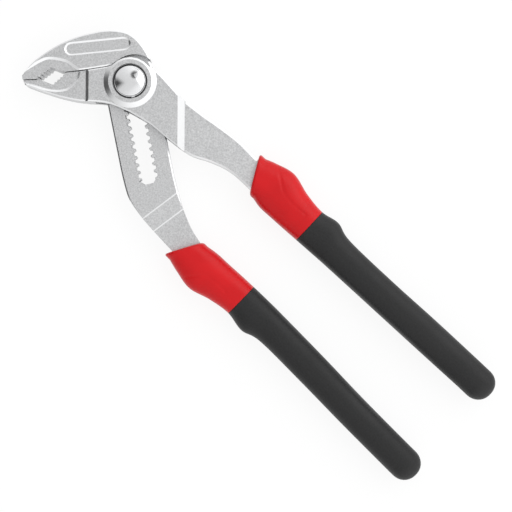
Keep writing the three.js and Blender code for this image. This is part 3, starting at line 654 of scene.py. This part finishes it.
def red_plastic():
    """Glossy red of the collars, with a slight moulded ripple."""
    material, tree, bsdf, place = new_material("Red plastic")
    colour = settings().grip.red
    grain = add_grain(tree, place, 700.0, 70.0)
    base = mixed(tree, "Moulded tone", grain.outputs["Mottle"], shade(colour, 0.93), shade(colour, 1.06))
    tree.links.new(base, bsdf.inputs["Base Color"])
    rough = between(tree, "Gloss", grain.outputs["Mottle"], 0.28, 0.38)
    tree.links.new(rough, bsdf.inputs["Roughness"])
    bsdf.inputs["Specular IOR Level"].default_value = 0.22
    add_bump(tree, bsdf, grain.outputs["Height"], 0.08, 0.05 * MM)
    return material


def black_plastic():
    """Fine-grained matte black of the sleeves, rubbed a little where the hand holds them."""
    material, tree, bsdf, place = new_material("Black plastic")
    colour = settings().grip.black
    grain = add_grain(tree, place, 1300.0, 45.0)
    fleck = mixed(tree, "Grain tone", grain.outputs["Fleck"], shade(colour, 0.72), shade(colour, 1.3))
    tree.links.new(fleck, bsdf.inputs["Base Color"])
    rough = between(tree, "Rubbed gloss", grain.outputs["Mottle"], 0.44, 0.58)
    tree.links.new(rough, bsdf.inputs["Roughness"])
    bsdf.inputs["Specular IOR Level"].default_value = 0.4
    add_bump(tree, bsdf, grain.outputs["Height"], 0.5, 0.12 * MM)
    return material


FINISHES = {
    "forged_steel": forged_steel,
    "polished_steel": polished_steel,
    "spring_steel": spring_steel,
    # The black_oxide finish is near-black painted shade for the gap round the button.
    "black_oxide": black_oxide,
    "red_grip": red_plastic,
    "black_grip": black_plastic,
}


def finish(slot_name):
    """The material of a slot, made the first time that it is asked for."""
    name = f"Finish {slot_name}"
    material = bpy.data.materials.get(name)
    if material is None:
        material = FINISHES[slot_name]()
        material.name = name
    return material


# Operators


class PLIERS_OT_levers(bpy.types.Operator):
    """Builds the two forged levers and the cap behind the joint"""

    bl_idname = "pliers.levers"
    bl_label = "Levers"

    def execute(self, context):
        steel = settings().steel
        pieces = (
            ("Box lever", "box_lever", "box_arm"),
            ("Slotted lever", "slotted_lever", "slotted_arm"),
            ("Rear cap", "rear_cap", "box_arm"),
        )
        for name, node, body in pieces:
            mesh = edge_broken_mesh(node, name, steel.edge_round, steel.edge_segments)
            new_piece(name.replace(" ", "_"), mesh, node, body, finish("forged_steel"))
        return {"FINISHED"}


class PLIERS_OT_button(bpy.types.Operator):
    """Builds the domed push button"""

    bl_idname = "pliers.button"
    bl_label = "Push button"

    def execute(self, context):
        low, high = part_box("push_button")
        base, top = low.z / MM, high.z / MM
        flange = (high.x - low.x) / MM / 2
        radius = flange - FLANGE_OVERHANG
        inner = radius - BUTTON_WALL
        crown = radius - BUTTON_EDGE
        ceiling = top - BUTTON_CEILING
        flange_top = base + FLANGE_HEIGHT
        dome_foot = top - BUTTON_DOME
        shoulder = dome_foot - BUTTON_EDGE
        turns = [math.radians(angle) for angle in SHOULDER_ANGLES]
        rise = BUTTON_EDGE / math.sin(turns[-1])
        section = [(0, ceiling), (inner, ceiling), (inner, base), (flange, base)]
        section += [(flange, flange_top), (radius, flange_top)]
        section += [(crown + BUTTON_EDGE * math.cos(a), shoulder + rise * math.sin(a)) for a in turns[:-1]]
        for k in range(DOME_STEPS + 1):
            share = 1 - k / DOME_STEPS
            section.append((crown * share, dome_foot + BUTTON_DOME * (1 - share ** 2)))
        mesh = lathe_mesh(section, "Push button", BUTTON_STEPS)
        new_piece("Push_button", mesh, "push_button", "button", finish("polished_steel"))
        return {"FINISHED"}


class PLIERS_OT_lock(bpy.types.Operator):
    """Finishes the bolt and washer inside the joint, and builds the spring under the button"""

    bl_idname = "pliers.lock"
    bl_label = "Lock pieces"

    def execute(self, context):
        for node in ("locking_bolt", "spring_seat_washer"):
            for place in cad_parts[node].material_slots:
                place.material = finish("spring_steel")
        mesh = mesh_from(merged_copy("button_spring"), "Button spring")
        smooth_by_angle(mesh, WIRE_SHARP_FROM)
        spring = new_piece(
            "Button_spring", mesh, "button_spring", "pivot", finish("spring_steel"))
        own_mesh(spring)
        return {"FINISHED"}


def split_ring_tree():
    """Geometry nodes that sweep a rounded strip round an open circle."""
    tree = bpy.data.node_groups.new("Split ring", "GeometryNodeTree")
    for label in ("Radius", "Width", "Height", "Corner", "Start", "Sweep", "Level"):
        tree.interface.new_socket(label, in_out="INPUT", socket_type="NodeSocketFloat")
    tree.interface.new_socket("Material", in_out="INPUT", socket_type="NodeSocketMaterial")
    tree.interface.new_socket("Ring", in_out="OUTPUT", socket_type="NodeSocketGeometry")
    given = tree.nodes.new("NodeGroupInput")
    out = tree.nodes.new("NodeGroupOutput")
    path = add_node(tree, "GeometryNodeCurveArc", "Path", {
        "Resolution": RING_STEPS, "Radius": given.outputs["Radius"],
        "Start Angle": given.outputs["Start"], "Sweep Angle": given.outputs["Sweep"]}, mode="RADIUS")
    strip = add_node(tree, "GeometryNodeCurvePrimitiveQuadrilateral", "Strip", {
        "Width": given.outputs["Width"], "Height": given.outputs["Height"]})
    rounded = add_node(tree, "GeometryNodeFilletCurve", "Broken corners", {
        "Curve": strip.outputs["Curve"], "Radius": given.outputs["Corner"]}, mode="POLY")
    rounded.inputs["Count"].default_value = 3
    swept = add_node(tree, "GeometryNodeCurveToMesh", "Sweep", {
        "Curve": path.outputs["Curve"], "Profile Curve": rounded.outputs["Curve"], "Fill Caps": True})
    lift = add_node(tree, "ShaderNodeCombineXYZ", "Lift", {"Z": given.outputs["Level"]})
    placed = add_node(tree, "GeometryNodeSetPosition", "At its level", {
        "Geometry": swept.outputs["Mesh"], "Offset": lift.outputs["Vector"]})
    real = add_node(tree, "GeometryNodeRealizeInstances", "Real mesh", {
        "Geometry": placed.outputs["Geometry"]})
    dressed = add_node(tree, "GeometryNodeSetMaterial", "Finish", {
        "Geometry": real.outputs["Geometry"], "Material": given.outputs["Material"]})
    tree.links.new(dressed.outputs["Geometry"], out.inputs["Ring"])
    return tree


def node_mesh(tree, name, values):
    """The plain mesh that a geometry node tree makes with these inputs."""
    def add_nodes(carrier):
        modifier = carrier.modifiers.new(name, "NODES")
        modifier.node_group = tree
        for item in tree.interface.items_tree:
            if item.in_out == "INPUT" and item.name in values:
                modifier[item.identifier] = values[item.name]

    return evaluated(bpy.data.meshes.new(name), name, add_nodes)


class PLIERS_OT_ring(bpy.types.Operator):
    """Builds the split ring that holds the button in"""

    bl_idname = "pliers.ring"
    bl_label = "Retaining ring"

    def execute(self, context):
        low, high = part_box("button_retaining_ring")
        width = RING_WIDTH * MM
        outer = (high.x - low.x) / 2
        split = RING_SPLIT * MM / outer
        gap_at = HEAD_TURN.to_euler().z - math.pi / 2
        mesh = node_mesh(split_ring_tree(), "Retaining ring", {
            "Radius": outer - width / 2, "Width": width, "Height": high.z - low.z,
            "Corner": RING_CORNER * MM, "Start": gap_at + split / 2, "Sweep": 2 * math.pi - split,
            "Level": (low.z + high.z) / 2, "Material": finish("black_oxide")})
        bm = bmesh.new()
        bm.from_mesh(mesh)
        bmesh.ops.remove_doubles(bm, verts=bm.verts, dist=MERGE_DISTANCE)
        bmesh.ops.recalc_face_normals(bm, faces=bm.faces)
        bm.to_mesh(mesh)
        bm.free()
        smooth_by_angle(mesh, SHARP_FROM)
        new_piece(
            "Retaining_ring", mesh, "button_retaining_ring", "box_arm", finish("black_oxide"))
        return {"FINISHED"}


class PLIERS_OT_grips(bpy.types.Operator):
    """Builds the red collars and the black sleeves on both handles"""

    bl_idname = "pliers.grips"
    bl_label = "Grips"

    def execute(self, context):
        sizes = settings().grip
        step = sizes.ring_step / MM
        joint = sizes.joint_round / MM
        collar = grip_stations(-COLLAR_LENGTH, -JOINT_GAP, sizes.collar_round / MM, joint, step)
        sleeve = grip_stations(JOINT_GAP, GRIP_END, joint, SLEEVE_END_ROUND, step)
        handles = (
            ("Upper", UPPER_GRIP, "box_lever", "box_arm"),
            ("Lower", LOWER_GRIP, "slotted_lever", "slotted_arm"),
        )
        for side, grip, lever, body in handles:
            node = side.lower()
            name = f"{side}_grip_collar"
            mesh = hollowed(grip_mesh(grip, name, collar), name, lever)
            new_piece(name, mesh, f"{node}_grip_collar", body, finish("red_grip"))
            name = f"{side}_grip_sleeve"
            mesh = hollowed(grip_mesh(grip, name, sleeve), name, lever)
            new_piece(name, mesh, f"{node}_grip_sleeve", body, finish("black_grip"))
        return {"FINISHED"}


class PLIERS_OT_stage(bpy.types.Operator):
    """Sets the floor, the lights and the camera"""

    bl_idname = "pliers.stage"
    bl_label = "Stage"

    def execute(self, context):
        stage = settings().stage
        aim = Vector(stage.aim)
        turn = Matrix.Rotation(PHOTO_TURN, 3, "Z")
        self.add_floor(stage)
        self.add_world()
        self.add_key(stage, aim, turn)
        camera = bpy.data.cameras.new("Camera")
        camera.sensor_fit = "HORIZONTAL"
        camera.angle = 2 * math.atan(stage.frame_width / 2 / stage.camera_distance)
        viewer = bpy.data.objects.new("Camera", camera)
        viewer.location = aim + Vector((0, 0, stage.camera_distance))
        viewer.rotation_euler = (0, 0, PHOTO_TURN)
        context.scene.collection.objects.link(viewer)
        context.scene.camera = viewer
        context.scene.view_settings.view_transform = "Standard"
        return {"FINISHED"}

    def add_floor(self, stage):
        """A white floor that keeps only a faint share of its shadows where the camera sees it."""
        mesh = bpy.data.meshes.new("Floor")
        signs = ((-1, -1), (1, -1), (1, 1), (-1, 1))
        corners = [(x * FLOOR_HALF, y * FLOOR_HALF, FLOOR_LEVEL) for x, y in signs]
        mesh.from_pydata(corners, [], [(0, 1, 2, 3)])
        floor = bpy.data.objects.new("Floor", mesh)
        bpy.context.scene.collection.objects.link(floor)
        material = bpy.data.materials.new("Pale floor")
        material.use_nodes = True
        tree = material.node_tree
        tree.nodes.clear()
        rays = tree.nodes.new("ShaderNodeLightPath")
        seen = add_node(tree, "ShaderNodeMath", "Camera or glossy", {
            0: rays.outputs["Is Camera Ray"], 1: rays.outputs["Is Glossy Ray"]}, operation="MAXIMUM")
        shown = add_node(tree, "ShaderNodeMath", "Or transmission", {
            0: seen.outputs[0], 1: rays.outputs["Is Transmission Ray"]}, operation="MAXIMUM")
        share = add_node(tree, "ShaderNodeMath", "White share", {
            0: shown.outputs[0], 1: FLOOR_WHITE_SHARE}, operation="MULTIPLY")
        lit = add_node(tree, "ShaderNodeBsdfDiffuse", "Lit floor", {"Color": (*stage.floor_colour, 1.0)})
        white = add_node(tree, "ShaderNodeEmission", "White", {
            "Color": (1, 1, 1, 1), "Strength": FLOOR_WHITE_STRENGTH})
        mix = add_node(tree, "ShaderNodeMixShader", "Floor", {
            0: share.outputs[0], 1: lit.outputs[0], 2: white.outputs[0]})
        out = tree.nodes.new("ShaderNodeOutputMaterial")
        tree.links.new(mix.outputs[0], out.inputs["Surface"])
        mesh.materials.append(material)

    def add_world(self):
        """A soft room, dark at the photograph's left and brighter to its right, top and bottom."""
        world = bpy.data.worlds.new("Studio")
        bpy.context.scene.world = world
        world.use_nodes = True
        tree = world.node_tree
        place = tree.nodes.new("ShaderNodeTexCoord")
        turned = add_node(tree, "ShaderNodeVectorRotate", "Photo frame", {
            "Vector": place.outputs["Generated"], "Angle": -PHOTO_TURN}, rotation_type="Z_AXIS")
        parts = add_node(tree, "ShaderNodeSeparateXYZ", "Direction", {"Vector": turned.outputs["Vector"]})
        height = add_node(tree, "ShaderNodeMath", "Up or down", {0: parts.outputs["Y"]}, operation="ABSOLUTE")
        side = add_node(tree, "ShaderNodeMath", "Left to right", {
            0: height.outputs[0], 1: ROOM_UP_AND_DOWN, 2: parts.outputs["X"]}, operation="MULTIPLY_ADD")
        across = add_node(tree, "ShaderNodeMapRange", "Across", {
            "Value": side.outputs[0], "From Min": -1.0, "From Max": 1.0})
        ramp = add_node(tree, "ShaderNodeValToRGB", "Room", {"Fac": across.outputs["Result"]})
        steps = ramp.color_ramp.elements
        for position, level in ROOM_STEPS:
            steps.new(position).color = grey(level)
        steps[0].color = grey(ROOM_DARK)
        steps[-1].color = grey(ROOM_LIGHT)
        facing = add_node(tree, "ShaderNodeVectorMath", "Towards the dark card", {
            0: turned.outputs["Vector"], 1: CARD_TOWARDS}, operation="DOT_PRODUCT")
        card = add_node(tree, "ShaderNodeMapRange", "Dark card", {
            "Value": facing.outputs["Value"], "From Min": CARD_EDGE[0], "From Max": CARD_EDGE[1]})
        room = mixed(tree, "Room and card", card.outputs["Result"], ramp.outputs["Color"], grey(CARD_LEVEL))
        background = tree.nodes["Background"]
        tree.links.new(room, background.inputs["Color"])
        background.inputs["Strength"].default_value = ROOM_STRENGTH

    def add_key(self, stage, aim, turn):
        light = bpy.data.lights.new("Key", "AREA")
        light.energy = stage.key_power
        light.size = KEY_SIZE
        lamp = bpy.data.objects.new("Key", light)
        away = turn @ Vector(KEY_AWAY)
        lamp.location = aim + away
        lamp.rotation_euler = away.to_track_quat("Z", "Y").to_euler()
        bpy.context.scene.collection.objects.link(lamp)


class PLIERS_PT_panel(bpy.types.Panel):
    """Sizes, colours and build steps of the pliers"""

    bl_label = "Push-button pliers"
    bl_idname = "PLIERS_PT_panel"
    bl_space_type = "VIEW_3D"
    bl_region_type = "UI"
    bl_category = "Pliers"

    def draw(self, context):
        values = context.scene.pliers
        for title, group in (("Steel", values.steel), ("Grips", values.grip), ("Stage", values.stage)):
            box = self.layout.box()
            box.label(text=title)
            for name in group.__annotations__:
                box.prop(group, name)
        for operator in BUILD_STEPS:
            self.layout.operator(operator.bl_idname)


BUILD_STEPS = (
    PLIERS_OT_levers, PLIERS_OT_ring, PLIERS_OT_button, PLIERS_OT_lock, PLIERS_OT_grips, PLIERS_OT_stage)
CLASSES = (SteelSettings, GripSettings, StageSettings, PliersSettings, *BUILD_STEPS, PLIERS_PT_panel)


def register():
    for cls in CLASSES:
        bpy.utils.register_class(cls)
    bpy.types.Scene.pliers = PointerProperty(type=PliersSettings)


def unregister():
    del bpy.types.Scene.pliers
    for cls in reversed(CLASSES):
        bpy.utils.unregister_class(cls)


def main():
    register()
    bpy.ops.pliers.levers()
    bpy.ops.pliers.ring()
    bpy.ops.pliers.button()
    bpy.ops.pliers.lock()
    bpy.ops.pliers.grips()
    bpy.ops.pliers.stage()


if __name__ == "__main__":
    main()
